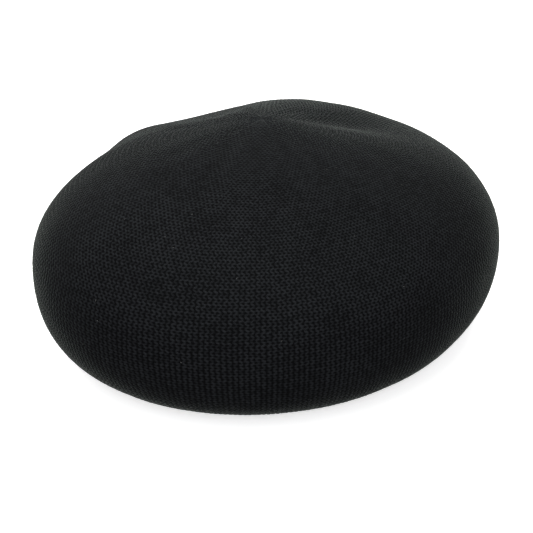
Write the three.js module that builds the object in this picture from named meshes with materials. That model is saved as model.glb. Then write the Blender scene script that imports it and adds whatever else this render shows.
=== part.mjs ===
// A knitted beret standing on its headband. Millimetres, +Z up, the front towards -Y,
// the origin on the surface it stands on, under the middle of the hat.
import * as THREE from "three";

// The dome of the hat, before its soft fullness is added.
const FULL_RADIUS = 132;
const CROWN_HEIGHT = 130;
const WIDEST_HEIGHT = 48;
const FABRIC = 2.6;

// How the meridian rounds off: powers of the cosine and sine of its angle.
const TOP_OUT = 1.2;
const TOP_UP = 0.86;
const UNDER_IN = 0.75;
const UNDER_DOWN = 0.86;
const UNDER_END = THREE.MathUtils.degToRad(72);

// The soft knit is fuller on one diagonal, and leans a little.
const LEAN_X = 0.035;
const LEAN_Y = -0.023;
const DIAGONAL = 0.07;

// Soft swells (+) and dips (-): bearing and half-width in degrees, then place and half-length
// along the meridian, where 0 is the crown and 1 the widest ring, and the height in mm.
const SWELLS = [
  { bearing: 210, wide: 35, place: 0.6, long: 0.4, height: 6 },
  { bearing: 0, wide: 25, place: 0.9, long: 0.5, height: 3 },
  { bearing: 120, wide: 30, place: 0.4, long: 0.2, height: -7 },
  { bearing: 30, wide: 20, place: 0.4, long: 0.15, height: -6 },
  { bearing: 30, wide: 40, place: 0.1, long: 0.3, height: -9 },
  { bearing: 165, wide: 40, place: 0.15, long: 0.2, height: -5 },
  { bearing: 165, wide: 15, place: 0.75, long: 0.2, height: -4 },
  { bearing: 145, wide: 15, place: 0.65, long: 0.15, height: 3 },
];

// The swells fade out within this much of the crown, where the gathering holds the knit.
const CROWN_CALM = 0.2;

// The headband: one rib-knit strip folded double, standing on its fold.
const BAND_INNER = 79;
const BAND_OUTER = 84;
const BAND_HEIGHT = 22;
const BAND_LAYER = 1.7;
const BAND_FOLD = 1.9;
const GAP = 0.3;

const ELASTIC_THICK = 1.0;
const ELASTIC_WIDE = 12;

const LINK_YARN = 1.1; // radius of the chain that closes the band
const SEAM_YARN = 0.8; // radius of the yarn that closes the back of the knit
const GATHER_YARN = 0.7;
const GATHER_RADIUS = 4;
const GATHER_TAIL = 34;

const BACK = Math.PI / 2; // bearing of the back seam

// Blank satin labels, sewn inside at the back.
const LABEL_THICK = 0.4;
const BACK_LABEL = { wide: 46, high: 15, low: 4 };
const SIZE_TAB = { wide: 13, high: 10, low: 6.5, aside: 0.46 };
const CARE_LABEL = { wide: 22, high: 30, aside: 0.3, slack: 0.8 };
const STITCH = 0.25; // radius of the sewing thread
const STITCH_PITCH = 2.3;

const AROUND = 64;

// The head opening sits off the middle of the leaning hat, so the whole is moved back over its origin.
const OPENING_X = -4.8;
const OPENING_Y = 2.5;

const knitBlack = new THREE.MeshStandardMaterial({ color: 0x16171a, roughness: 0.95, metalness: 0 });
const ribBlack = new THREE.MeshStandardMaterial({ color: 0x141518, roughness: 0.95, metalness: 0 });
const yarnBlack = new THREE.MeshStandardMaterial({ color: 0x1b1c20, roughness: 0.9, metalness: 0 });
const elasticBlack = new THREE.MeshStandardMaterial({ color: 0x202124, roughness: 0.8, metalness: 0 });
const satinBlack = new THREE.MeshStandardMaterial({ color: 0x1c1d20, roughness: 0.45, metalness: 0 });
const satinWhite = new THREE.MeshStandardMaterial({ color: 0xe9e7e1, roughness: 0.5, metalness: 0 });
const threadBlack = new THREE.MeshStandardMaterial({ color: 0x18191b, roughness: 0.6, metalness: 0 });

// Stations down the outside of the dome. reach is how far a station follows the fullness,
// place is 0 at the crown, 1 at the widest ring and about 2 at the band.
function outerStations() {
  const stations = [];
  const topSteps = 14;
  for (let i = 0; i <= topSteps; i++) {
    const angle = (Math.PI / 2) * (1 - i / topSteps);
    const reach = i === 0 ? 0 : Math.cos(angle) ** TOP_OUT;
    const rise = (CROWN_HEIGHT - WIDEST_HEIGHT) * Math.sin(angle) ** TOP_UP;
    stations.push({ r: FULL_RADIUS * reach, z: WIDEST_HEIGHT + rise, reach, place: i / topSteps });
  }
  const underSteps = 6;
  for (let i = 1; i <= underSteps; i++) {
    const angle = (UNDER_END * i) / underSteps;
    const reach = Math.cos(angle) ** UNDER_IN;
    const r = BAND_OUTER + (FULL_RADIUS - BAND_OUTER) * reach;
    const z = WIDEST_HEIGHT * (1 - Math.sin(angle) ** UNDER_DOWN);
    stations.push({ r, z, reach, place: 1 + angle / (Math.PI / 2) });
  }
  return stations.concat(tuckedStations(stations[stations.length - 1]));
}

// Under the hat the knit turns up again, to meet the upper edge of the band.
function tuckedStations(last) {
  const edge = new THREE.Vector2(BAND_OUTER + GAP, BAND_HEIGHT - FABRIC - 1.4);
  const turn = new THREE.Vector2(BAND_OUTER + 9, -2.5);
  const curve = new THREE.QuadraticBezierCurve(new THREE.Vector2(last.r, last.z), turn, edge);
  const steps = 5;
  const stations = [];
  for (let i = 1; i <= steps; i++) {
    const share = i / steps;
    const at = curve.getPoint(share);
    const reach = last.reach * (1 - share) ** 1.5;
    stations.push({ r: at.x, z: at.y, reach, place: last.place + (2 - last.place) * share });
  }
  return stations;
}

// The station one fabric thickness inside, square to the meridian.
function insideOf(stations, i, depth) {
  const here = stations[i];
  if (i === 0) return { ...here, z: here.z - depth };
  const before = stations[i - 1];
  const after = stations[Math.min(i + 1, stations.length - 1)];
  const run = new THREE.Vector2(after.r - before.r, after.z - before.z).normalize();
  if (i === stations.length - 1) return { ...here, z: here.z + depth };
  return { ...here, r: here.r + run.y * depth, z: here.z - run.x * depth };
}

// How far the fullness moves a station at a bearing: outwards, then up.
function fullness(station, bearing) {
  const lean = LEAN_X * Math.cos(bearing) + LEAN_Y * Math.sin(bearing);
  const spread = FULL_RADIUS * station.reach * (lean + DIAGONAL * Math.sin(2 * bearing));
  let swell = 0;
  for (const s of SWELLS) {
    const off = THREE.MathUtils.euclideanModulo(
      THREE.MathUtils.radToDeg(bearing) - s.bearing + 180, 360) - 180;
    const along = (station.place - s.place) / s.long;
    swell += s.height * Math.exp(-((off / s.wide) ** 2) - along ** 2);
  }
  swell *= 1 - Math.exp(-((station.place / CROWN_CALM) ** 2));
  const out = station.r + spread;
  const up = station.z - WIDEST_HEIGHT;
  const away = Math.hypot(out, up);
  return [spread + (swell * out) / away, (swell * up) / away];
}

function onHat(station, bearing) {
  const [outwards, upwards] = fullness(station, bearing);
  const r = station.r + outwards;
  return new THREE.Vector3(
    r * Math.cos(bearing), r * Math.sin(bearing), Math.max(station.z + upwards, GAP));
}

function ring(points, around = AROUND) {
  return new THREE.LatheGeometry(points.map(([r, z]) => new THREE.Vector2(r, z)), around)
    .rotateX(Math.PI / 2);
}

function roundSection(radius, sides) {
  const points = [];
  for (let i = 0; i < sides; i++) {
    const a = (2 * Math.PI * i) / sides;
    points.push(new THREE.Vector2(radius * Math.cos(a), radius * Math.sin(a)));
  }
  return new THREE.Shape(points);
}

function yarnAlong(points, radius, steps, sides = 8) {
  return new THREE.ExtrudeGeometry(roundSection(radius, sides), {
    steps, extrudePath: new THREE.CatmullRomCurve3(points), bevelEnabled: false,
  });
}

// An arc of a ring, such as a label that follows the inside of the band.
function curvedPlate(innerRadius, thick, wide, high, middle) {
  const half = wide / 2 / innerRadius;
  const shape = new THREE.Shape();
  shape.absarc(0, 0, innerRadius + thick, middle - half, middle + half, false);
  shape.absarc(0, 0, innerRadius, middle + half, middle - half, true);
  return new THREE.ExtrudeGeometry(shape, { depth: high, bevelEnabled: false, curveSegments: 10 });
}

function piece(name, geometry, material) {
  const mesh = new THREE.Mesh(geometry, material);
  mesh.name = name;
  return mesh;
}

const stations = outerStations();
const lining = stations.map((s, i) => insideOf(stations, i, FABRIC));

// One piece of knitting: crown, side and underside, turned about the crown and then swelled.
function knitShell() {
  const section = lining.concat([...stations].reverse());
  const geometry = ring(section.map((s) => [s.r, s.z]));
  const position = geometry.attributes.position;
  for (let i = 0; i < position.count; i++) {
    const station = section[i % section.length];
    if (station.r === 0) continue;
    const bearing = Math.atan2(position.getY(i), position.getX(i));
    position.setXYZ(i, ...onHat(station, bearing).toArray());
  }
  return geometry;
}

// The band's section is a tall U turned over at the floor, with its channel open at the top.
function headband() {
  const innerFace = BAND_INNER + BAND_LAYER;
  const outerFace = BAND_OUTER - BAND_LAYER;
  return ring([
    [BAND_INNER, BAND_HEIGHT], [BAND_INNER, 1], [BAND_INNER + 1, 0], [BAND_OUTER - 1, 0],
    [BAND_OUTER, 1], [BAND_OUTER, BAND_HEIGHT], [outerFace, BAND_HEIGHT],
    [outerFace, BAND_FOLD], [innerFace, BAND_FOLD], [innerFace, BAND_HEIGHT],
    [BAND_INNER, BAND_HEIGHT],
  ]);
}

function headbandElastic() {
  const inner = (BAND_INNER + BAND_OUTER - ELASTIC_THICK) / 2;
  const outer = inner + ELASTIC_THICK;
  const low = BAND_FOLD + GAP;
  const high = low + ELASTIC_WIDE;
  return ring([[inner, low], [outer, low], [outer, high], [inner, high], [inner, low]]);
}

// The linking chain lies on the band's two raw edges and closes its channel.
function bandLinkingSeam() {
  const across = (BAND_OUTER - BAND_INNER) / 2;
  const middle = BAND_INNER + across;
  const height = BAND_HEIGHT + GAP + LINK_YARN;
  const points = [];
  for (let i = 0; i <= 10; i++) {
    const a = (2 * Math.PI * i) / 10;
    points.push([middle + across * Math.cos(a), height + LINK_YARN * Math.sin(a)]);
  }
  return ring(points);
}

// A point of the lining at the back, held clear of the fabric.
function backLiningPoint(station, clearance) {
  const index = stations.indexOf(station);
  return onHat(insideOf(stations, index, FABRIC + clearance), BACK);
}

function backSeamYarn() {
  const clearance = SEAM_YARN + 2 * GAP;
  const run = stations.filter((s) => s.r > 2 * GATHER_RADIUS + 4 && s.place < 1.75);
  return yarnAlong(run.map((s) => backLiningPoint(s, clearance)), SEAM_YARN, 44);
}

// The yarn that draws the crown shut goes once round the hole, and its end is darned forward.
function crownGatheringYarn() {
  const height = CROWN_HEIGHT - FABRIC - 2.4;
  const points = [];
  for (let i = 0; i <= 14; i++) {
    const a = BACK + (2 * Math.PI * i) / 16;
    points.push(new THREE.Vector3(GATHER_RADIUS * Math.cos(a), GATHER_RADIUS * Math.sin(a), height));
  }
  for (let i = 1; i <= 4; i++) {
    const share = i / 4;
    points.push(new THREE.Vector3(
      GATHER_RADIUS + GATHER_TAIL * share, GATHER_RADIUS * (1 - 2 * share), height - 7 * share));
  }
  return yarnAlong(points, GATHER_YARN, 60);
}

// A blank label that lies against the inside of the band.
function bandLabel({ wide, high, low, aside = 0 }) {
  const radius = BAND_INNER - GAP - LABEL_THICK - 0.15;
  return curvedPlate(radius, LABEL_THICK, wide, high, BACK + aside).translate(0, 0, low);
}

// A folded strip that stands up from the linking chain, its fold at the top.
function careLabel() {
  const { wide, high, aside, slack } = CARE_LABEL;
  const half = slack / 2 + LABEL_THICK;
  const shape = new THREE.Shape();
  shape.moveTo(-half, 0);
  shape.lineTo(-half, high - half);
  shape.absarc(0, high - half, half, Math.PI, 0, true);
  shape.lineTo(half, 0);
  shape.lineTo(slack / 2, 0);
  shape.lineTo(slack / 2, high - half);
  shape.absarc(0, high - half, slack / 2, 0, Math.PI, false);
  shape.lineTo(-slack / 2, 0);
  shape.closePath();
  const strip = new THREE.ExtrudeGeometry(shape, { depth: wide, bevelEnabled: false, curveSegments: 6 });
  const low = BAND_HEIGHT + 2 * GAP + 2 * LINK_YARN;
  return strip.translate((BAND_INNER + BAND_OUTER) / 2, 0, -wide / 2)
    .rotateX(Math.PI / 2)
    .rotateZ(BACK - aside)
    .translate(0, 0, low);
}

// One thread whipped over an edge of the back label.
function labelStitch(edge) {
  const radius = BAND_INNER - 2 * GAP - LABEL_THICK - 0.15 - STITCH;
  const turns = Math.floor((BACK_LABEL.wide - 3) / STITCH_PITCH);
  const points = [];
  for (let i = 0; i <= 2 * turns; i++) {
    const a = BACK + ((i - turns) * STITCH_PITCH) / 2 / radius;
    const height = edge + (i % 2 ? 0.7 : -0.7);
    points.push(new THREE.Vector3(radius * Math.cos(a), radius * Math.sin(a), height));
  }
  return yarnAlong(points, STITCH, 4 * turns, 6);
}

const labelTop = BACK_LABEL.low + BACK_LABEL.high;
const group = new THREE.Group();
group.add(
  piece("knit_shell", knitShell(), knitBlack),
  piece("headband", headband(), ribBlack),
  piece("headband_elastic", headbandElastic(), elasticBlack),
  piece("band_linking_seam", bandLinkingSeam(), yarnBlack),
  piece("back_seam_yarn", backSeamYarn(), yarnBlack),
  piece("crown_gathering_yarn", crownGatheringYarn(), yarnBlack),
  piece("back_label", bandLabel(BACK_LABEL), satinBlack),
  piece("back_label_upper_stitch", labelStitch(labelTop - 1.2), threadBlack),
  piece("back_label_lower_stitch", labelStitch(BACK_LABEL.low + 1.2), threadBlack),
  piece("size_tab", bandLabel(SIZE_TAB), satinBlack),
  piece("care_label", careLabel(), satinWhite),
);
group.position.set(OPENING_X, OPENING_Y, 0);
export default group;
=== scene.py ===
import math

import bpy
import numpy as np
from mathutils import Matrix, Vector


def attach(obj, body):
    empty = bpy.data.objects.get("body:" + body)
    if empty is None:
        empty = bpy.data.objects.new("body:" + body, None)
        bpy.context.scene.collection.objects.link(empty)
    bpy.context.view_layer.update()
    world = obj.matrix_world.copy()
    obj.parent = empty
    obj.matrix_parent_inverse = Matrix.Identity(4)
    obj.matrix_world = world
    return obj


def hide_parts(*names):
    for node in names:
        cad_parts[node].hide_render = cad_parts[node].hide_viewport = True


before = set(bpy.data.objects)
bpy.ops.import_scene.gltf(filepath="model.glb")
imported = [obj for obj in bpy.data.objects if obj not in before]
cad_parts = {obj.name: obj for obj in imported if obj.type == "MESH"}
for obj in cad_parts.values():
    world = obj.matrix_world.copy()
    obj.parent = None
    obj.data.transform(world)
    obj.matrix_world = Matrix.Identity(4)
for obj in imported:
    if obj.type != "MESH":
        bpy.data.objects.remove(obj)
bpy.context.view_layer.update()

# A knitted beret: the soft parts are rebuilt here as real knitting. Lengths are millimetres
# until a mesh is made; bearings go round the crown, anticlockwise from +X.
MM = 0.001
RNG = np.random.default_rng(12)
BACK = math.pi / 2

# The dome, as the part's own drawing gives it.
FULL_RADIUS = 132
CROWN_HEIGHT = 130
WIDEST_HEIGHT = 48
FABRIC = 2.6
TOP_OUT, TOP_UP = 1.2, 0.86
UNDER_IN, UNDER_DOWN = 0.75, 0.86
UNDER_END = math.radians(72)
TURN_OUT, TURN_HEIGHT = 9, -2.5
EDGE_SUNK = 1.4
ROLL_POINTS = 11
LEAN_X, LEAN_Y, DIAGONAL = 0.035, -0.023, 0.07
CROWN_CALM = 0.2
BAND_INNER, BAND_OUTER, BAND_HEIGHT = 79, 84, 22
BAND_MIDDLE = (BAND_INNER + BAND_OUTER) / 2
BAND_LAYER, BAND_FOLD = 1.7, 1.9
GAP = 0.3
OPENING_X, OPENING_Y = -4.8, 2.5
HAT_MIDDLE = np.array([0, 0, 50.0])

# bearing, half-width (degrees), place, half-length (0 crown, 1 widest ring), height (mm)
SWELLS = [
    (210, 35, 0.6, 0.4, 6),
    (0, 25, 0.9, 0.5, 3),
    (120, 30, 0.4, 0.2, -7),
    (30, 20, 0.4, 0.15, -6),
    (30, 40, 0.1, 0.3, -9),
    (165, 40, 0.15, 0.2, -5),
    (165, 15, 0.75, 0.2, -4),
    (145, 15, 0.65, 0.15, 3),
]

# The knitting. It is made sideways: rows (courses) run from the crown to the band, and the
# columns of stitches (wales) lie as rings. Fourteen wedges of short rows make the round:
# out to SHORT_ROW_RADIUS the rows keep their closest spacing and end at a wedge's two sides.
WEDGES = 14
ROWS_PER_WEDGE = 21
FIRST_WEDGE = math.radians(10.3)
SHORT_ROW_RADIUS = 108
# The width of a wale, and how far a stitch leans (in rows), at distances from the crown.
WALE_AT, WALE = [0, 115, 125, 145, 165, 280], [3.55, 3.55, 3.3, 3.2, 3.4, 3.4]
SLANT_AT, SLANT = [60, 120, 140, 160, 175, 200], [0.75, 0.62, 0.52, 0.42, 0.32, 0.27]
SHORT_ROW_BLEND = 0.05  # how softly short rows give way to full ones
# A stitch: how high it stands, the level of it that lies on the cloth, how pointed its V is,
# how full its legs are, and how they thin and sink where they turn under.
STITCH_RISE, STITCH_LEVEL = 0.38, 0.6
V_POINT, LEG_FULL, TURN_THIN, TURN_SINK = 0.93, 0.24, 1.7, 0.32
PURL_RISE, PURL_SWING = 0.6, 0.28
# Uneven spacing: its size in stitches, and its cells down and round the hat. Then how much
# the legs differ in height and in shade, and the slack ripples of the cloth.
UNEVEN = [(0.10, (32, 110)), (0.07, (75, 270))]
LEG_HEIGHTS, LEG_SHADES = 0.15, 0.22
RIPPLE, RIPPLE_SHADE, RIPPLE_CELLS = 0.22, 0.10, (14, 40)
# Distances from the crown: its own hole, the folds and dimple of the gathering, how far the
# gathering squeezes the stitches and how far that lifts the painted shade in the gaps between
# them, and where the ripples begin and are full.
CROWN_START = 0.02
FOLD_HEIGHT, FOLD_AT, FOLD_SPREAD = 0.12, 6, 5
DIMPLE_DEPTH, DIMPLE_SPREAD = 0.25, 2.5
CROWN_DRAWN, DRAWN_SHADE = 14, 0.5
RIPPLE_FROM, RIPPLE_FULL = 5, 40
# How far from the seam the stitches lie flatter, by what share, and how deep.
EDGE_FLAT, EDGE_FLATTER, EDGE_SINK = 14, 0.7, 0.3
FLOOR_CLEAR = 0.02
SECTORS = 8
SAMPLES_PER_ROW, STEP_DOWN = 5, 0.52
PURL_SAMPLES_PER_ROW, PURL_STEPS_DOWN = 3, 290
LINT_FIBRES = 48

BAND_RIBS = 170
RIB_SINK, RIB_ROW, RIB_LEAN = 0.75, 2.5, 0.55
ELASTIC_WIDE, ELASTIC_HALF_THICK = 12, 0.5
ELASTIC_CORD, ELASTIC_WEFTS, ELASTIC_RELIEF = 1.5, 180, 0.14
LINK_YARN = 1.1
CHAIN_STRANDS, CHAIN_WAVES = 3, 56
CHAIN_YARN_RADIUS, CHAIN_HALF_WIDE, CHAIN_HALF_HIGH = 0.62, 1.55, 0.45
SEAM_INSIDE, SEAM_SWAY, SEAM_LOWEST = 1.4, 0.35, 1.3
PLIES = 2
LABEL_THICK = 0.4
LABEL_PLAY = 0.15
LABEL_WIDE, LABEL_HIGH, LABEL_LOW = 46, 15, 4
STITCH, STITCH_PITCH = 0.25, 2.3
STITCH_INSET, STITCH_OVER = 1.2, 0.7

# Looks. "stitch" is 0 where yarn dives into the fabric and 1 on top of it; the yarn colour
# is darkened towards 0 as painted shade in the gaps.
STITCH_DEEP, STITCH_TOP = 0.35, 0.95
SHEEN = 0.28
FIBRE_BUMP, FIBRE_SPREAD = 0.35, 0.35
SATIN_SHADE = 0.72
SKY_LOW, SKY_HIGH = 0.2, 0.75
FLOOR_GLOW = 0.55

# The studio, in metres; the lens in millimetres.
LIGHTS_AIM = (0, 0, 0.05)
CAMERA_AIM_HEIGHT, CAMERA_AWAY, CAMERA_RAISED = 0.06, 0.9, math.radians(26)
CAMERA_ASIDE, CAMERA_BELOW, CAMERA_LENS = 0.0025, 0.0216, 103.7


# ---------------------------------------------------------------- the shape of the hat

def base_meridian():
    """Dense points down the outside: distance from the crown, r, z, reach, place."""
    a = np.linspace(math.pi / 2, 0, 400)
    reach = np.cos(a) ** TOP_OUT
    reach[0] = 0
    top = np.c_[FULL_RADIUS * reach,
                WIDEST_HEIGHT + (CROWN_HEIGHT - WIDEST_HEIGHT) * np.sin(a) ** TOP_UP,
                reach, 1 - a / (math.pi / 2)]
    a = np.linspace(0, UNDER_END, 200)[1:]
    reach = np.cos(a) ** UNDER_IN
    under = np.c_[BAND_OUTER + (FULL_RADIUS - BAND_OUTER) * reach,
                  WIDEST_HEIGHT * (1 - np.sin(a) ** UNDER_DOWN),
                  reach, 1 + a / (math.pi / 2)]
    last = under[-1]
    edge = np.array([BAND_OUTER + GAP, BAND_HEIGHT - FABRIC - EDGE_SUNK])
    turn = np.array([BAND_OUTER + TURN_OUT, TURN_HEIGHT])
    t = np.linspace(0, 1, 80)[1:, None]
    rz = (1 - t) ** 2 * last[:2] + 2 * t * (1 - t) * turn + t ** 2 * edge
    tucked = np.c_[rz, last[2] * (1 - t) ** 1.5, last[3] + (2 - last[3]) * t]
    run = tucked[-1, :2] - tucked[-2, :2]
    run = run / np.hypot(*run)
    inwards = np.array([run[1], -run[0]])
    t = np.linspace(0, math.pi, ROLL_POINTS + 1)[1:, None]
    roll = edge + FABRIC / 2 * (inwards * (1 - np.cos(t)) + run * np.sin(t))
    rolled = np.c_[roll, np.zeros(len(t)), np.full(len(t), 2.0)]
    line = np.vstack([top, under, tucked, rolled])
    steps = np.hypot(*np.diff(line[:, :2], axis=0).T)
    return np.c_[np.r_[0, np.cumsum(steps)], line]


MERIDIAN = base_meridian()
MERIDIAN_LENGTH = MERIDIAN[-1, 0]
OUTER_FACE = MERIDIAN[:-ROLL_POINTS]
EDGE_DOWN = OUTER_FACE[-1, 0]


def hat_points(down, bearing, inside=0.0):
    """The hat's surface, at distances down the meridian and bearings that broadcast.

    inside is how deep under the outer face the points lie.
    """
    down, bearing = np.broadcast_arrays(down, bearing)
    r, z, reach, place = (np.interp(down, MERIDIAN[:, 0], MERIDIAN[:, k]) for k in (1, 2, 3, 4))
    if inside:
        known = OUTER_FACE[:, 0]
        r = r + inside * np.interp(down, known, np.gradient(OUTER_FACE[:, 2], known))
        z = z - inside * np.interp(down, known, np.gradient(OUTER_FACE[:, 1], known))
        r = np.maximum(r, 0)
    lean = LEAN_X * np.cos(bearing) + LEAN_Y * np.sin(bearing)
    spread = FULL_RADIUS * reach * (lean + DIAGONAL * np.sin(2 * bearing))
    swell = 0
    for centre, wide, at, long, height in SWELLS:
        off = (np.degrees(bearing) - centre + 180) % 360 - 180
        swell = swell + height * np.exp(-(off / wide) ** 2 - ((place - at) / long) ** 2)
    swell = swell * (1 - np.exp(-(place / CROWN_CALM) ** 2))
    away = np.hypot(r + spread, z - WIDEST_HEIGHT)
    out = r + spread + swell * (r + spread) / away
    up = z + swell * (z - WIDEST_HEIGHT) / away
    return np.stack([out * np.cos(bearing), out * np.sin(bearing), np.maximum(up, GAP)], -1)


def normals_of(grid):
    """Unit normals of a grid that goes once round, rows down, columns round."""
    around = np.roll(grid, -1, 1) - np.roll(grid, 1, 1)
    n = np.cross(np.gradient(grid, axis=0), around)
    return n / np.maximum(np.linalg.norm(n, axis=-1, keepdims=True), 1e-9)


def once_round(count, start=BACK):
    """Even bearings once round the hat, from the seam at the back unless told otherwise."""
    return start + np.arange(count) * 2 * math.pi / count


# ---------------------------------------------------------------- noise

def smooth_noise(shape, cells):
    """Soft noise from -1 to 1 over a grid, wrapping round its second axis."""
    coarse = RNG.uniform(-1, 1, (cells[0] + 3, cells[1]))
    y = np.linspace(0, cells[0], shape[0])
    x = np.linspace(0, cells[1], shape[1], endpoint=False)
    iy, ix = y.astype(int), x.astype(int)
    fy, fx = y - iy, x - ix
    fy, fx = fy * fy * (3 - 2 * fy), fx * fx * (3 - 2 * fx)
    a = coarse[iy][:, ix % cells[1]]
    b = coarse[iy][:, (ix + 1) % cells[1]]
    c = coarse[iy + 1][:, ix % cells[1]]
    d = coarse[iy + 1][:, (ix + 1) % cells[1]]
    top = a + (b - a) * fx
    low = c + (d - c) * fx
    return top + (low - top) * fy[:, None]


def unevenly(count):
    """Row or wale numbers with the small shifts of real knitting."""
    for size, cells in UNEVEN:
        count = count + size * smooth_noise(count.shape, cells)
    return count


def per_stitch(row, wale):
    """One random number from 0 to 1 for each leg of each stitch."""
    table = RNG.random((128, 128))
    return table[np.floor(row).astype(int) % 128, np.floor(wale).astype(int) % 128]


def about_one(size, number):
    """From 1 - size to 1 + size as the number goes from 0 to 1."""
    return 1 - size + 2 * size * number


def smoothstep(low, high, x):
    t = np.clip((x - low) / (high - low), 0, 1)
    return t * t * (3 - 2 * t)


# ---------------------------------------------------------------- meshes

def grid_faces(rows, columns, closed_round=False, closed_down=False):
    """The quads of a grid whose points are numbered along its rows."""
    i, j = np.meshgrid(np.arange(rows if closed_down else rows - 1),
                       np.arange(columns if closed_round else columns - 1), indexing="ij")
    n, k = (i + 1) % rows, (j + 1) % columns
    return np.stack([i * columns + j, n * columns + j, n * columns + k, i * columns + k],
                    -1).reshape(-1, 4)


def mesh_object(name, points, faces, material, node, slot, stitch=None, facing=None,
                normals=None):
    """A smooth-shaded piece that rides on the hat's one body; points are in millimetres.

    Its faces look away from its own middle, or from the hat's middle where facing is "out",
    or towards the hat's middle where facing is "in".
    """
    points = np.asarray(points, float).reshape(-1, 3)
    a, b, c = (points[faces[:, k]] for k in (0, 1, 2))
    middle = HAT_MIDDLE if facing else points.mean(0)
    outwards = np.einsum("ij,ij->", np.cross(b - a, c - a), (a + c) / 2 - middle)
    if (outwards < 0) != (facing == "in"):
        faces = faces[:, ::-1]
    placed = ((points + [OPENING_X, OPENING_Y, 0]) * MM).astype(np.float32)
    faces = np.ascontiguousarray(faces, np.int32)
    mesh = bpy.data.meshes.new(name)
    mesh.vertices.add(len(placed))
    mesh.vertices.foreach_set("co", placed.ravel())
    mesh.loops.add(faces.size)
    mesh.loops.foreach_set("vertex_index", faces.ravel())
    mesh.polygons.add(len(faces))
    mesh.polygons.foreach_set("loop_start", np.arange(0, faces.size, 4, dtype=np.int32))
    mesh.polygons.foreach_set("use_smooth", np.ones(len(faces), bool))
    if stitch is not None:
        values = np.full(len(points), stitch) if np.isscalar(stitch) else stitch
        layer = mesh.attributes.new("stitch", "FLOAT", "POINT")
        layer.data.foreach_set("value", np.ascontiguousarray(values, np.float32).ravel())
    mesh.update(calc_edges=True)
    mesh.validate()
    if normals is not None:
        mesh.normals_split_custom_set_from_vertices(normals.reshape(-1, 3))
    mesh.materials.append(material)
    piece = bpy.data.objects.new(name, mesh)
    bpy.context.collection.objects.link(piece)
    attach(piece, "root")
    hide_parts(node)


def frame_along(path, reference, closed):
    """Two directions square to a path, the second as near the reference as it can be."""
    if closed:
        tangent = np.roll(path, -1, 0) - np.roll(path, 1, 0)
    else:
        tangent = np.gradient(path, axis=0)
    tangent /= np.linalg.norm(tangent, axis=1, keepdims=True)
    side = np.cross(tangent, reference)
    side /= np.linalg.norm(side, axis=1, keepdims=True)
    return side, np.cross(side, tangent)


def tube(path, radius, reference, sides=7, closed=False):
    """Points and faces of a round yarn; an open one closes to a blunt tip at both ends."""
    side, lift = frame_along(path, reference, closed)
    radius = np.broadcast_to(radius, len(path)).astype(float).copy()
    if not closed:
        radius[[0, -1]] *= 0.05
        radius[[1, -2]] *= 0.7
    a = np.arange(sides) * 2 * math.pi / sides
    points = path[:, None] + radius[:, None, None] * (
        np.cos(a)[None, :, None] * side[:, None] + np.sin(a)[None, :, None] * lift[:, None])
    return points.reshape(-1, 3), grid_faces(len(path), sides, True, closed)


def joined(parts):
    """Several (points, faces) as one."""
    points, faces, start = [], [], 0
    for p, f in parts:
        points.append(p)
        faces.append(f + start)
        start += len(p)
    return np.vstack(points), np.vstack(faces)


def plied(path, reference, ply_radius, apart, pitch, sides=7):
    """Plies twisted round an open path. pitch is the length of one full twist."""
    steps = np.linalg.norm(np.diff(path, axis=0), axis=1)
    turns = np.r_[0, np.cumsum(steps)] / pitch
    side, lift = frame_along(path, reference, closed=False)
    parts = []
    for k in range(PLIES):
        a = 2 * math.pi * (turns + k / PLIES)
        strand = path + apart * (np.cos(a)[:, None] * side + np.sin(a)[:, None] * lift)
        parts.append(tube(strand, ply_radius, reference, sides))
    return joined(parts)


def smooth_path(knots, count):
    """A Catmull-Rom curve through the knots, sampled at even steps."""
    knots = np.asarray(knots, float)
    knots = np.vstack([2 * knots[0] - knots[1], knots, 2 * knots[-1] - knots[-2]])
    t = np.linspace(0, 1, 24, endpoint=False)[:, None]
    pieces = []
    for p0, p1, p2, p3 in zip(knots[:-3], knots[1:-2], knots[2:-1], knots[3:]):
        pieces.append(0.5 * (2 * p1 + (p2 - p0) * t + (2 * p0 - 5 * p1 + 4 * p2 - p3) * t ** 2
                             + (3 * p1 - p0 - 3 * p2 + p3) * t ** 3))
    dense = np.vstack(pieces + [knots[-2:-1]])
    along = np.r_[0, np.cumsum(np.linalg.norm(np.diff(dense, axis=0), axis=1))]
    at = np.linspace(0, along[-1], count)
    return np.stack([np.interp(at, along, dense[:, k]) for k in range(3)], 1)


# ---------------------------------------------------------------- materials

def new_material(name):
    material = bpy.data.materials.new(name)
    material.use_nodes = True
    nodes = material.node_tree.nodes
    return material, nodes, material.node_tree.links, nodes["Principled BSDF"]


def set_inputs(node, values):
    for label, value in values.items():
        node.inputs[label].default_value = value


def add_bump(nodes, links, shader, height, strength, distance):
    bump = nodes.new("ShaderNodeBump")
    set_inputs(bump, {"Strength": strength, "Distance": distance})
    links.new(height, bump.inputs["Height"])
    links.new(bump.outputs["Normal"], shader.inputs["Normal"])


def add_ramp(nodes, links, factor, places, colours):
    """A ramp between two colours; gives its colour output."""
    ramp = nodes.new("ShaderNodeValToRGB")
    for k in (0, 1):
        ramp.color_ramp.elements[k].position = places[k]
        ramp.color_ramp.elements[k].color = (*colours[k], 1)
    links.new(factor, ramp.inputs["Fac"])
    return ramp.outputs["Color"]


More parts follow.
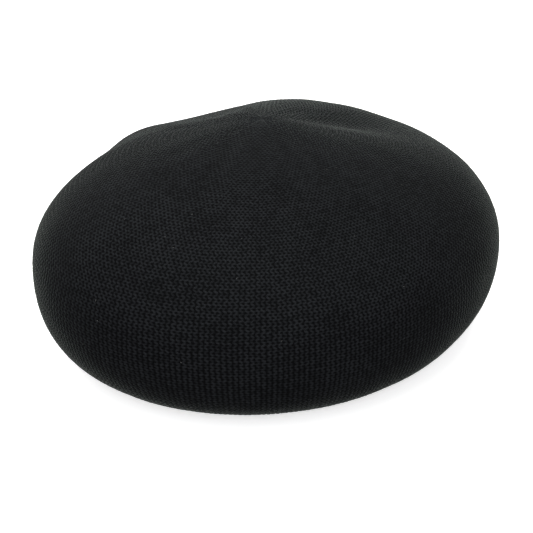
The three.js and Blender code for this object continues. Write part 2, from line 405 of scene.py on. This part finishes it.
def yarn_material(name, dark, light, sheen=SHEEN, fibre=0.00035):
    """Black wool-mix yarn: painted shade where it dives into the fabric, dull grey-black on top.
    """
    material, nodes, links, shader = new_material(name)
    set_inputs(shader, {"Roughness": 0.9, "Specular IOR Level": 0.04, "Sheen Weight": sheen,
                        "Sheen Roughness": 0.25, "Sheen Tint": (0.86, 0.945, 0.87, 1)})
    height = nodes.new("ShaderNodeAttribute")
    height.attribute_name = "stitch"
    # Painted shade: the colour runs from dark in the gaps, where the yarn dives into the fabric,
    # to light on top, along the stitch attribute.
    painted_shade = add_ramp(nodes, links, height.outputs["Fac"], (STITCH_DEEP, STITCH_TOP), (dark, light))

    # Fine fibre grain: a little bump, and a little light and dark in the colour.
    place = nodes.new("ShaderNodeTexCoord")
    fine = nodes.new("ShaderNodeTexNoise")
    set_inputs(fine, {"Scale": 1 / fibre, "Detail": 3, "Roughness": 0.65})
    links.new(place.outputs["Object"], fine.inputs["Vector"])
    add_bump(nodes, links, shader, fine.outputs["Fac"], FIBRE_BUMP, fibre)
    shade = nodes.new("ShaderNodeMapRange")
    set_inputs(shade, {"From Min": 0.3, "From Max": 0.7,
                       "To Min": 1 - FIBRE_SPREAD, "To Max": 1 + FIBRE_SPREAD})
    links.new(fine.outputs["Fac"], shade.inputs["Value"])
    scale = nodes.new("ShaderNodeVectorMath")
    scale.operation = "SCALE"
    links.new(painted_shade, scale.inputs[0])
    links.new(shade.outputs["Result"], scale.inputs["Scale"])
    links.new(scale.outputs["Vector"], shader.inputs["Base Color"])
    return material


def satin_material(name, colour, fineness):
    """Blank woven satin with a soft shine; fineness is the scale of its floats on each axis."""
    material, nodes, links, shader = new_material(name)
    set_inputs(shader, {"Roughness": 0.42, "Specular IOR Level": 0.35, "Sheen Weight": 0.15})
    place = nodes.new("ShaderNodeTexCoord")
    scaled = nodes.new("ShaderNodeMapping")
    set_inputs(scaled, {"Scale": fineness})
    links.new(place.outputs["Object"], scaled.inputs["Vector"])
    floats = nodes.new("ShaderNodeTexNoise")
    set_inputs(floats, {"Scale": 1, "Detail": 2})
    links.new(scaled.outputs["Vector"], floats.inputs["Vector"])
    shaded = [c * SATIN_SHADE for c in colour]
    woven = add_ramp(nodes, links, floats.outputs["Fac"], (0.3, 0.7), (shaded, colour))
    links.new(woven, shader.inputs["Base Color"])
    add_bump(nodes, links, shader, floats.outputs["Fac"], 0.35, 0.00012)
    return material


# ---------------------------------------------------------------- the knitted shell

def knit_lattice(down, bearing):
    """Row number and wale number at each point: short rows keep parallel to a wedge's middle."""
    wedge = 2 * math.pi / WEDGES
    turns = (bearing - FIRST_WEDGE) / wedge
    from_middle = turns - np.round(turns)
    full = down / SHORT_ROW_RADIUS
    open_out = full - SHORT_ROW_BLEND * np.log1p(np.exp((full - 1) / SHORT_ROW_BLEND))
    row = ROWS_PER_WEDGE * from_middle * np.maximum(open_out, 0.01)
    steps = np.linspace(0, MERIDIAN_LENGTH, 1200)
    count = np.cumsum(1 / np.interp(steps, WALE_AT, WALE)) * steps[1]
    return row, np.interp(down, steps, count) + 0 * bearing


def stitch_height(row, wale, slant):
    """0 to 1: the leaning legs of each sideways stitch, pinched where they turn under."""
    lean = np.arcsin(V_POINT * np.cos(2 * math.pi * wale)) / math.asin(V_POINT)
    leg = np.abs(np.sin(math.pi * (row + slant * (0.5 + 0.5 * lean))))
    turn = np.abs(np.cos(2 * math.pi * wale)) ** 2
    return leg ** (LEG_FULL + TURN_THIN * turn) * (1 - TURN_SINK * turn)


def crown_gather(down, bearing):
    """Small folds where the last stitches are drawn together, and the dimple they leave, mm."""
    folds = np.cos(13 * bearing + 1.3 * np.sin(2 * bearing)) + 0.5 * np.cos(29 * bearing)
    return (FOLD_HEIGHT * folds * np.exp(-((down - FOLD_AT) / FOLD_SPREAD) ** 2)
            - DIMPLE_DEPTH * np.exp(-(down / DIMPLE_SPREAD) ** 2))


def cloth_bearings(samples_per_row):
    """Bearings once round, as many as the sectors can share evenly."""
    return once_round(WEDGES * ROWS_PER_WEDGE * samples_per_row // SECTORS * SECTORS)[None]


def knit_pieces(name, surface, stitch, material, facing):
    """The knit cut into sectors; normals come from the whole cloth, so no cut shows."""
    rows, columns = stitch.shape
    normal = normals_of(surface)
    if facing == "in":
        normal = -normal
    part = columns // SECTORS
    for k in range(SECTORS):
        pick = np.arange(k * part, (k + 1) * part + 1) % columns
        mesh_object(f"{name}_{k + 1}", surface[:, pick], grid_faces(rows, len(pick)), material,
                    "knit_shell", "knit_black", stitch=stitch[:, pick], facing=facing,
                    normals=normal[:, pick])


def knit_outside(material):
    """The right side: V-shaped legs on a slightly slack and uneven cloth."""
    bearing = cloth_bearings(SAMPLES_PER_ROW)
    steps = int((MERIDIAN_LENGTH - CROWN_START) / STEP_DOWN)
    down = np.linspace(CROWN_START, MERIDIAN_LENGTH, steps)[:, None]
    grid = hat_points(down, bearing)
    row, wale = knit_lattice(down, bearing)
    row, wale = unevenly(row), unevenly(wale)
    height = stitch_height(row, wale, np.interp(down, SLANT_AT, SLANT))
    uneven = per_stitch(row, 2 * wale)
    ripple = smooth_noise(row.shape, RIPPLE_CELLS)
    lift = STITCH_RISE * (height * about_one(LEG_HEIGHTS, uneven) - STITCH_LEVEL)
    lift = lift * smoothstep(0, CROWN_DRAWN, down)
    edge = smoothstep(-EDGE_FLAT, 0, down - EDGE_DOWN)
    lift = lift * (1 - EDGE_FLATTER * edge) - EDGE_SINK * edge
    lift = lift + RIPPLE * ripple * smoothstep(RIPPLE_FROM, RIPPLE_FULL, down)
    lift = lift + crown_gather(down, bearing)
    surface = grid + normals_of(grid) * lift[..., None]
    surface[..., 2] = np.maximum(surface[..., 2], FLOOR_CLEAR)
    # Painted shade in the gaps between the legs, lifted near the crown where the stitches are
    # drawn together. The legs also differ in tone at random, and the colour is darker where the
    # slack ripples sink.
    shade = height * about_one(LEG_SHADES, uneven) * (1 + RIPPLE_SHADE * ripple)
    squeezed = np.exp(-(down / CROWN_DRAWN) ** 2)
    shade = np.clip(shade + DRAWN_SHADE * squeezed * (1 - height), 0, 1)
    knit_pieces("knit_outside", surface, shade, material, "out")


def knit_inside(material):
    """The purl face: rows of small arcs, seen through the head opening."""
    bearing = cloth_bearings(PURL_SAMPLES_PER_ROW)
    down = np.linspace(CROWN_START, EDGE_DOWN, PURL_STEPS_DOWN)[:, None]
    grid = hat_points(down, bearing, inside=FABRIC)
    row, wale = knit_lattice(down, bearing)
    swing = PURL_SWING * np.sin(2 * math.pi * wale)
    height = (0.5 + 0.5 * np.cos(2 * math.pi * (row + swing))) ** 0.8
    height = height * (0.6 + 0.4 * np.abs(np.cos(math.pi * wale)))
    lift = PURL_RISE * (0.5 - height) * smoothstep(0, CROWN_DRAWN, down)
    surface = grid + normals_of(grid) * lift[..., None]
    surface[..., 2] = np.maximum(surface[..., 2], GAP)
    # Painted shade: the stitch attribute darkens the gaps between the purl arcs.
    knit_pieces("knit_inside", surface, height, material, "in")


def lint(material):
    """A few pale fibres that have settled on the outside."""
    parts = []
    for _ in range(LINT_FIBRES):
        down, bearing = RNG.uniform(20, 185), RNG.uniform(0, 2 * math.pi)
        long = RNG.uniform(0.5, 1.6)
        heading, bend = RNG.uniform(0, 2 * math.pi), RNG.uniform(-0.5, 0.5)
        t = np.linspace(-0.5, 0.5, 6)
        ahead, aside = long * t, long * bend * (0.25 - t ** 2)
        step_down = ahead * math.cos(heading) - aside * math.sin(heading)
        step_round = ahead * math.sin(heading) + aside * math.cos(heading)
        radius = np.interp(down, MERIDIAN[:, 0], MERIDIAN[:, 1])
        path = hat_points(down + step_down, bearing + step_round / radius, inside=-0.35)
        up = path[2] - [0, 0, WIDEST_HEIGHT]
        up = up / np.linalg.norm(up)
        parts.append(tube(path, RNG.uniform(0.05, 0.10), up, 5))
    mesh_object("lint_fibres", *joined(parts), material, "knit_shell", None, stitch=0.9,
                facing="out")


# ---------------------------------------------------------------- the headband

def band_section(step):
    """The folded strip's section, counterclockwise from the top of its inner face."""
    lip, fold = BAND_LAYER / 2, 2.0
    half = (BAND_OUTER - BAND_INNER) / 2

    def lip_round(r):
        return [(r + lip * math.cos(a), BAND_HEIGHT - lip + lip * math.sin(a))
                for a in np.linspace(0, math.pi, 7)]

    line = [(BAND_INNER, BAND_HEIGHT - lip), (BAND_INNER, fold)]
    line += [(BAND_MIDDLE + half * math.cos(a), fold + fold * math.sin(a))
             for a in np.linspace(math.pi, 2 * math.pi, 14)[1:]]
    line += lip_round(BAND_OUTER - lip)
    line += [(BAND_OUTER - BAND_LAYER, BAND_FOLD + 1), (BAND_MIDDLE, BAND_FOLD + 0.1),
             (BAND_INNER + BAND_LAYER, BAND_FOLD + 1)]
    line += lip_round(BAND_INNER + lip)
    line = np.array(line)
    along = np.r_[0, np.cumsum(np.hypot(*np.diff(line, axis=0).T))]
    at = np.linspace(0, along[-1], int(along[-1] / step), endpoint=False)
    return at, np.interp(at, along, line[:, 0]), np.interp(at, along, line[:, 1])


def headband(material):
    """One-and-one rib: raised chains of stitches with sunk ones between them."""
    along, r, z = band_section(1.0)
    seen = 2 * BAND_HEIGHT + 4  # the section's length down the inner face and up the outer one
    columns = BAND_RIBS * 5
    a = once_round(columns)
    wale = BAND_RIBS * (a / (2 * math.pi)) + 0.04 * smooth_noise((len(along), columns), (8, 90))
    off = (wale + 0.5) % 1.0 - 0.5
    rise = np.cos(math.pi * off) ** 1.5
    row = along[:, None] / RIB_ROW + RIB_LEAN * np.abs(off)
    leg = np.abs(np.sin(math.pi * row)) ** 0.8 * np.abs(np.sin(2 * math.pi * off)) ** 0.5
    height = rise * (0.45 + 0.55 * leg)
    outside = smoothstep(0, 2, along) * (1 - smoothstep(seen - 1, seen + 1, along))
    dr = np.roll(r, -1) - np.roll(r, 1)
    dz = np.roll(z, -1) - np.roll(z, 1)
    length = np.hypot(dr, dz)
    sink = RIB_SINK * (1 - height) * outside[:, None]
    rr = r[:, None] - sink * (dz / length)[:, None]
    zz = np.maximum(z[:, None] + sink * (dr / length)[:, None], 0)
    points = np.stack([rr * np.cos(a), rr * np.sin(a), zz], -1)
    # Painted shade: the stitch attribute darkens the sunk ribs and the gaps between the legs.
    mesh_object("headband_rib", points, grid_faces(len(along), columns, True, True), material,
                "headband", "rib_black", stitch=np.where(outside[:, None] > 0.1, height, 0.5))


def linking_seam(material):
    """A plaited chain that closes the band and takes the edge of the knit with it."""
    count = BAND_RIBS * 8
    height = BAND_HEIGHT + GAP + LINK_YARN
    a = once_round(count)
    parts = []
    for k in range(CHAIN_STRANDS):
        t = 2 * math.pi * (np.arange(count) * CHAIN_WAVES / count + k / CHAIN_STRANDS)
        r = BAND_MIDDLE + CHAIN_HALF_WIDE * np.sin(t)
        z = height + CHAIN_HALF_HIGH * np.sin(2 * t)
        path = np.stack([r * np.cos(a), r * np.sin(a), z], -1)
        parts.append(tube(path, CHAIN_YARN_RADIUS, (0, 0, 1), 8, closed=True))
    points, faces = joined(parts)
    mesh_object("linking_chain", points, faces, material, "band_linking_seam", "yarn_black",
                stitch=0.75 + 0.2 * np.sin(np.arange(len(points)) * 0.9))


def headband_elastic(material):
    """A woven elastic: flat, with a cord of rubber in every rib."""
    low = BAND_FOLD + GAP
    up = np.linspace(0, 1, 36, endpoint=False)
    section_r = np.repeat([BAND_MIDDLE - ELASTIC_HALF_THICK, BAND_MIDDLE + ELASTIC_HALF_THICK],
                          len(up))[:, None]
    section_z = low + ELASTIC_WIDE * np.r_[up, 1 - up][:, None]
    columns = 720
    a = once_round(columns, start=0)
    cord = np.abs(np.sin(math.pi * (section_z - low) / ELASTIC_CORD))
    weave = 0.5 + 0.5 * np.sin(ELASTIC_WEFTS * a)[None] * np.where(cord > 0.5, 1, -1)
    side = np.sign(section_r - BAND_MIDDLE)
    r = section_r - side * ELASTIC_RELIEF * (1 - cord * (0.6 + 0.4 * weave))
    points = np.stack([r * np.cos(a), r * np.sin(a), section_z + 0 * a], -1)
    # Painted shade: the stitch attribute darkens the elastic where the weave sinks between the
    # cords.
    mesh_object("elastic_weave", points, grid_faces(len(section_r), columns, True, True),
                material, "headband_elastic", "elastic_black",
                stitch=0.4 + 0.6 * cord * (0.5 + 0.5 * weave))


# ---------------------------------------------------------------- seam yarns

def back_seam(material):
    """The yarn that grafts the last row to the first, lying inside at the back."""
    down = np.linspace(CROWN_DRAWN, EDGE_DOWN - EDGE_FLAT, 700)
    path = hat_points(down, np.full(len(down), BACK), inside=FABRIC + SEAM_INSIDE)
    path[:, 0] += SEAM_SWAY * np.sin(2 * math.pi * down / WALE[0])
    path[:, 2] = np.maximum(path[:, 2], SEAM_LOWEST)
    points, faces = plied(path, (1, 0, 0), ply_radius=0.42, apart=0.38, pitch=4.2)
    mesh_object("back_seam_ply", points, faces, material, "back_seam_yarn", "yarn_black",
                stitch=0.8)


def gathering_yarn(material):
    """Once round the crown's hole, then darned away to the right under the fabric."""
    height = CROWN_HEIGHT - FABRIC - 2.4
    loop, reach, drop = 4, 34, 7
    knots = []
    for i in range(15):
        a = BACK + 2 * math.pi * i / 16
        knots.append((loop * math.cos(a), loop * math.sin(a), height))
    for i in range(1, 5):
        share = i / 4
        knots.append((loop + reach * share, loop * (1 - 2 * share), height - drop * share))
    points, faces = plied(smooth_path(knots, 420), (0, 0, 1),
                          ply_radius=0.38, apart=0.33, pitch=3.6)
    mesh_object("gathering_ply", points, faces, material, "crown_gathering_yarn", "yarn_black",
                stitch=0.8)


# ---------------------------------------------------------------- labels

def soft_plate(place, wide, high, thick, nu, nv):
    """A thin plate with rounded edges: place(u, v, out) gives points for u, v in millimetres."""
    def half(count, length):
        t = np.linspace(-1, 1, count)
        return length / 2 * np.sign(t) * (1 - (1 - np.abs(t)) ** 1.35)

    u, v = np.meshgrid(half(nu, wide), half(nv, high) + high / 2, indexing="ij")
    edge = np.minimum.reduce([wide / 2 - np.abs(u), v, high - v])
    swell = thick / 2 * np.sqrt(np.clip(edge / (thick * 0.8), 0, 1))
    front, back = place(u, v, swell), place(u, v, -swell)
    faces = grid_faces(nu, nv)
    return joined([(front.reshape(-1, 3), faces), (back.reshape(-1, 3), faces[:, ::-1])])


def band_label(name, material, wide, high, low, aside, node):
    """A satin label that lies against the inner face of the band, a little wavy."""
    radius = BAND_INNER - GAP - LABEL_THICK / 2 - LABEL_PLAY

    def place(u, v, out):
        wave = 0.10 * np.sin(v * 0.9 + u * 0.15) * np.cos(u * 0.4)
        r = radius - out + wave * 0.5
        a = BACK + aside + u / radius
        return np.stack([r * np.cos(a), r * np.sin(a), low + v], -1)

    points, faces = soft_plate(place, wide, high, LABEL_THICK * 0.9, 120, 48)
    mesh_object(name, points, faces, material, node, "satin_black")


def care_label(material):
    """A ribbon folded in two that stands up from the seam; both tails are caught in the chain."""
    wide, high, aside, slack = 22, 30, 0.3, 0.8
    foot = BAND_HEIGHT + 2 * GAP + 2 * LINK_YARN
    half = slack / 2 + LABEL_THICK / 2
    straight = high - half - 0.3
    bend = math.pi * half
    c, s = math.cos(BACK - aside), math.sin(BACK - aside)

    def place(u, v, out):
        around = np.clip((v - straight) / bend, 0, 1) * math.pi
        past = np.maximum(v - straight - bend, 0)
        z = np.minimum(v, straight) + half * np.sin(around) - past + out * np.sin(around)
        curl = 0.3 * np.sin(z * 0.22) * z / high
        r = BAND_MIDDLE - half * np.cos(around) - out * np.cos(around) - curl
        return np.stack([r * c - u * s, r * s + u * c, foot + z], -1)

    points, faces = soft_plate(place, wide, 2 * straight + bend, LABEL_THICK * 0.8, 44, 150)
    mesh_object("care_ribbon", points, faces, material, "care_label", "satin_white")


def label_stitches(name, edge, material, node):
    """Whipped stitches over the edge of the label."""
    radius = BAND_INNER - 2 * GAP - LABEL_THICK - LABEL_PLAY - STITCH
    turns = int((LABEL_WIDE - 3) / STITCH_PITCH)
    knots = []
    for i in range(2 * turns + 1):
        a = BACK + (i - turns) * STITCH_PITCH / 2 / radius
        over = STITCH_OVER if i % 2 else -STITCH_OVER
        knots.append((radius * math.cos(a), radius * math.sin(a), edge + over))
    points, faces = plied(smooth_path(knots, 1100), (0, 1, 0),
                          ply_radius=0.15, apart=0.11, pitch=1.1, sides=5)
    mesh_object(name, points, faces, material, node, "thread_black", stitch=0.9)


# ---------------------------------------------------------------- studio

def studio():
    """A pale floor that glows a little, a soft sky and four lamps."""
    size = 4.0
    floor_mesh = bpy.data.meshes.new("floor")
    floor_mesh.from_pydata(
        [(-size, -size, 0), (size, -size, 0), (size, size, 0), (-size, size, 0)],
        [], [(0, 1, 2, 3)])
    floor = bpy.data.objects.new("floor", floor_mesh)
    bpy.context.collection.objects.link(floor)
    material, _, _, shader = new_material("floor_white")
    set_inputs(shader, {"Base Color": (0.92, 0.92, 0.92, 1), "Roughness": 0.9,
                        "Emission Color": (1, 1, 1, 1), "Emission Strength": FLOOR_GLOW})
    floor_mesh.materials.append(material)
    floor.visible_diffuse = False
    floor.visible_glossy = False
    soft_sky()
    area_light("overhead", (0.1, 0.25, 1.3), 1.1, 11.5, (0.98, 1, 0.93))
    area_light("fill", (-0.9, -1.0, 0.9), 1.0, 5)
    area_light("front", (0.2, -1.35, 0.45), 1.2, 13.5, (0.98, 0.98, 1))
    area_light("back", (-0.8, 1.0, 0.7), 0.8, 8)


def soft_sky():
    """Even light from above that dies away below the level of the floor, seen as plain white."""
    world = bpy.data.worlds.new("studio")
    world.use_nodes = True
    nodes, links = world.node_tree.nodes, world.node_tree.links
    place = nodes.new("ShaderNodeTexCoord")
    split = nodes.new("ShaderNodeSeparateXYZ")
    ramp = nodes.new("ShaderNodeMapRange")
    ramp.interpolation_type = "SMOOTHSTEP"
    set_inputs(ramp, {"From Min": -0.2, "From Max": 0.5, "To Min": SKY_LOW, "To Max": SKY_HIGH})
    links.new(place.outputs["Generated"], split.inputs["Vector"])
    links.new(split.outputs["Z"], ramp.inputs["Value"])
    seen = nodes.new("ShaderNodeLightPath")
    pick = nodes.new("ShaderNodeMix")
    set_inputs(pick, {"B": 1})
    links.new(seen.outputs["Is Camera Ray"], pick.inputs["Factor"])
    links.new(ramp.outputs["Result"], pick.inputs["A"])
    links.new(pick.outputs["Result"], nodes["Background"].inputs["Strength"])
    set_inputs(nodes["Background"], {"Color": (1, 1, 1, 1)})
    bpy.context.scene.world = world


def area_light(name, place, size, power, colour=(1, 1, 1)):
    """A square lamp that shines on the hat: place and size in metres, power in watts."""
    light = bpy.data.lights.new(name, "AREA")
    light.shape = "SQUARE"
    light.size = size
    light.energy = power
    light.color = colour
    lamp = bpy.data.objects.new(name, light)
    lamp.location = place
    aim = np.array(LIGHTS_AIM) - np.array(place)
    lamp.rotation_euler = Vector(aim).to_track_quat("-Z", "Y").to_euler()
    bpy.context.collection.objects.link(lamp)


def camera():
    """In front of the hat and above it, aimed a little to its right and low."""
    looked_at = Vector((OPENING_X * MM, OPENING_Y * MM, CAMERA_AIM_HEIGHT))
    back = Vector((0, -math.cos(CAMERA_RAISED), math.sin(CAMERA_RAISED)))
    up = Vector((0, math.sin(CAMERA_RAISED), math.cos(CAMERA_RAISED)))
    data = bpy.data.cameras.new("camera")
    data.sensor_width = 36
    data.lens = CAMERA_LENS
    cam = bpy.data.objects.new("camera", data)
    cam.location = looked_at + back * CAMERA_AWAY
    aim = looked_at + Vector((CAMERA_ASIDE, 0, 0)) - up * CAMERA_BELOW - cam.location
    cam.rotation_euler = aim.to_track_quat("-Z", "Y").to_euler()
    bpy.context.collection.objects.link(cam)
    bpy.context.scene.camera = cam


bpy.context.scene.view_settings.view_transform = "Standard"
camera()
studio()
knit = yarn_material("knit_black", (0.0021, 0.0022, 0.0025), (0.0126, 0.0136, 0.0152))
rib = yarn_material("rib_black", (0.0010, 0.0011, 0.0013), (0.0115, 0.0120, 0.0135))
yarn = yarn_material("yarn_black", (0.0030, 0.0032, 0.0036), (0.0160, 0.0165, 0.0180),
                     fibre=0.00025)
elastic = yarn_material("elastic_black", (0.0040, 0.0042, 0.0046), (0.0200, 0.0205, 0.0215),
                        sheen=0.05)
thread = yarn_material("thread_black", (0.0060, 0.0062, 0.0070), (0.0180, 0.0185, 0.0200),
                       sheen=0.05, fibre=0.00012)
satin_black = satin_material("satin_black", (0.020, 0.021, 0.024), (900, 900, 5200))
satin_white = satin_material("satin_white", (0.78, 0.77, 0.73), (3600, 3600, 900))
fluff = yarn_material("lint_grey", (0.05, 0.05, 0.05), (0.14, 0.14, 0.135), fibre=0.0001)
knit_outside(knit)
lint(fluff)
knit_inside(knit)
headband(rib)
linking_seam(yarn)
headband_elastic(elastic)
back_seam(yarn)
gathering_yarn(yarn)
band_label("back_label_satin", satin_black, LABEL_WIDE, LABEL_HIGH, LABEL_LOW, 0, "back_label")
band_label("size_tab_satin", satin_black, 13, 10, 6.5, 0.46, "size_tab")
label_stitches("label_stitch_upper", LABEL_LOW + LABEL_HIGH - STITCH_INSET, thread,
               "back_label_upper_stitch")
label_stitches("label_stitch_lower", LABEL_LOW + STITCH_INSET, thread, "back_label_lower_stitch")
care_label(satin_white)
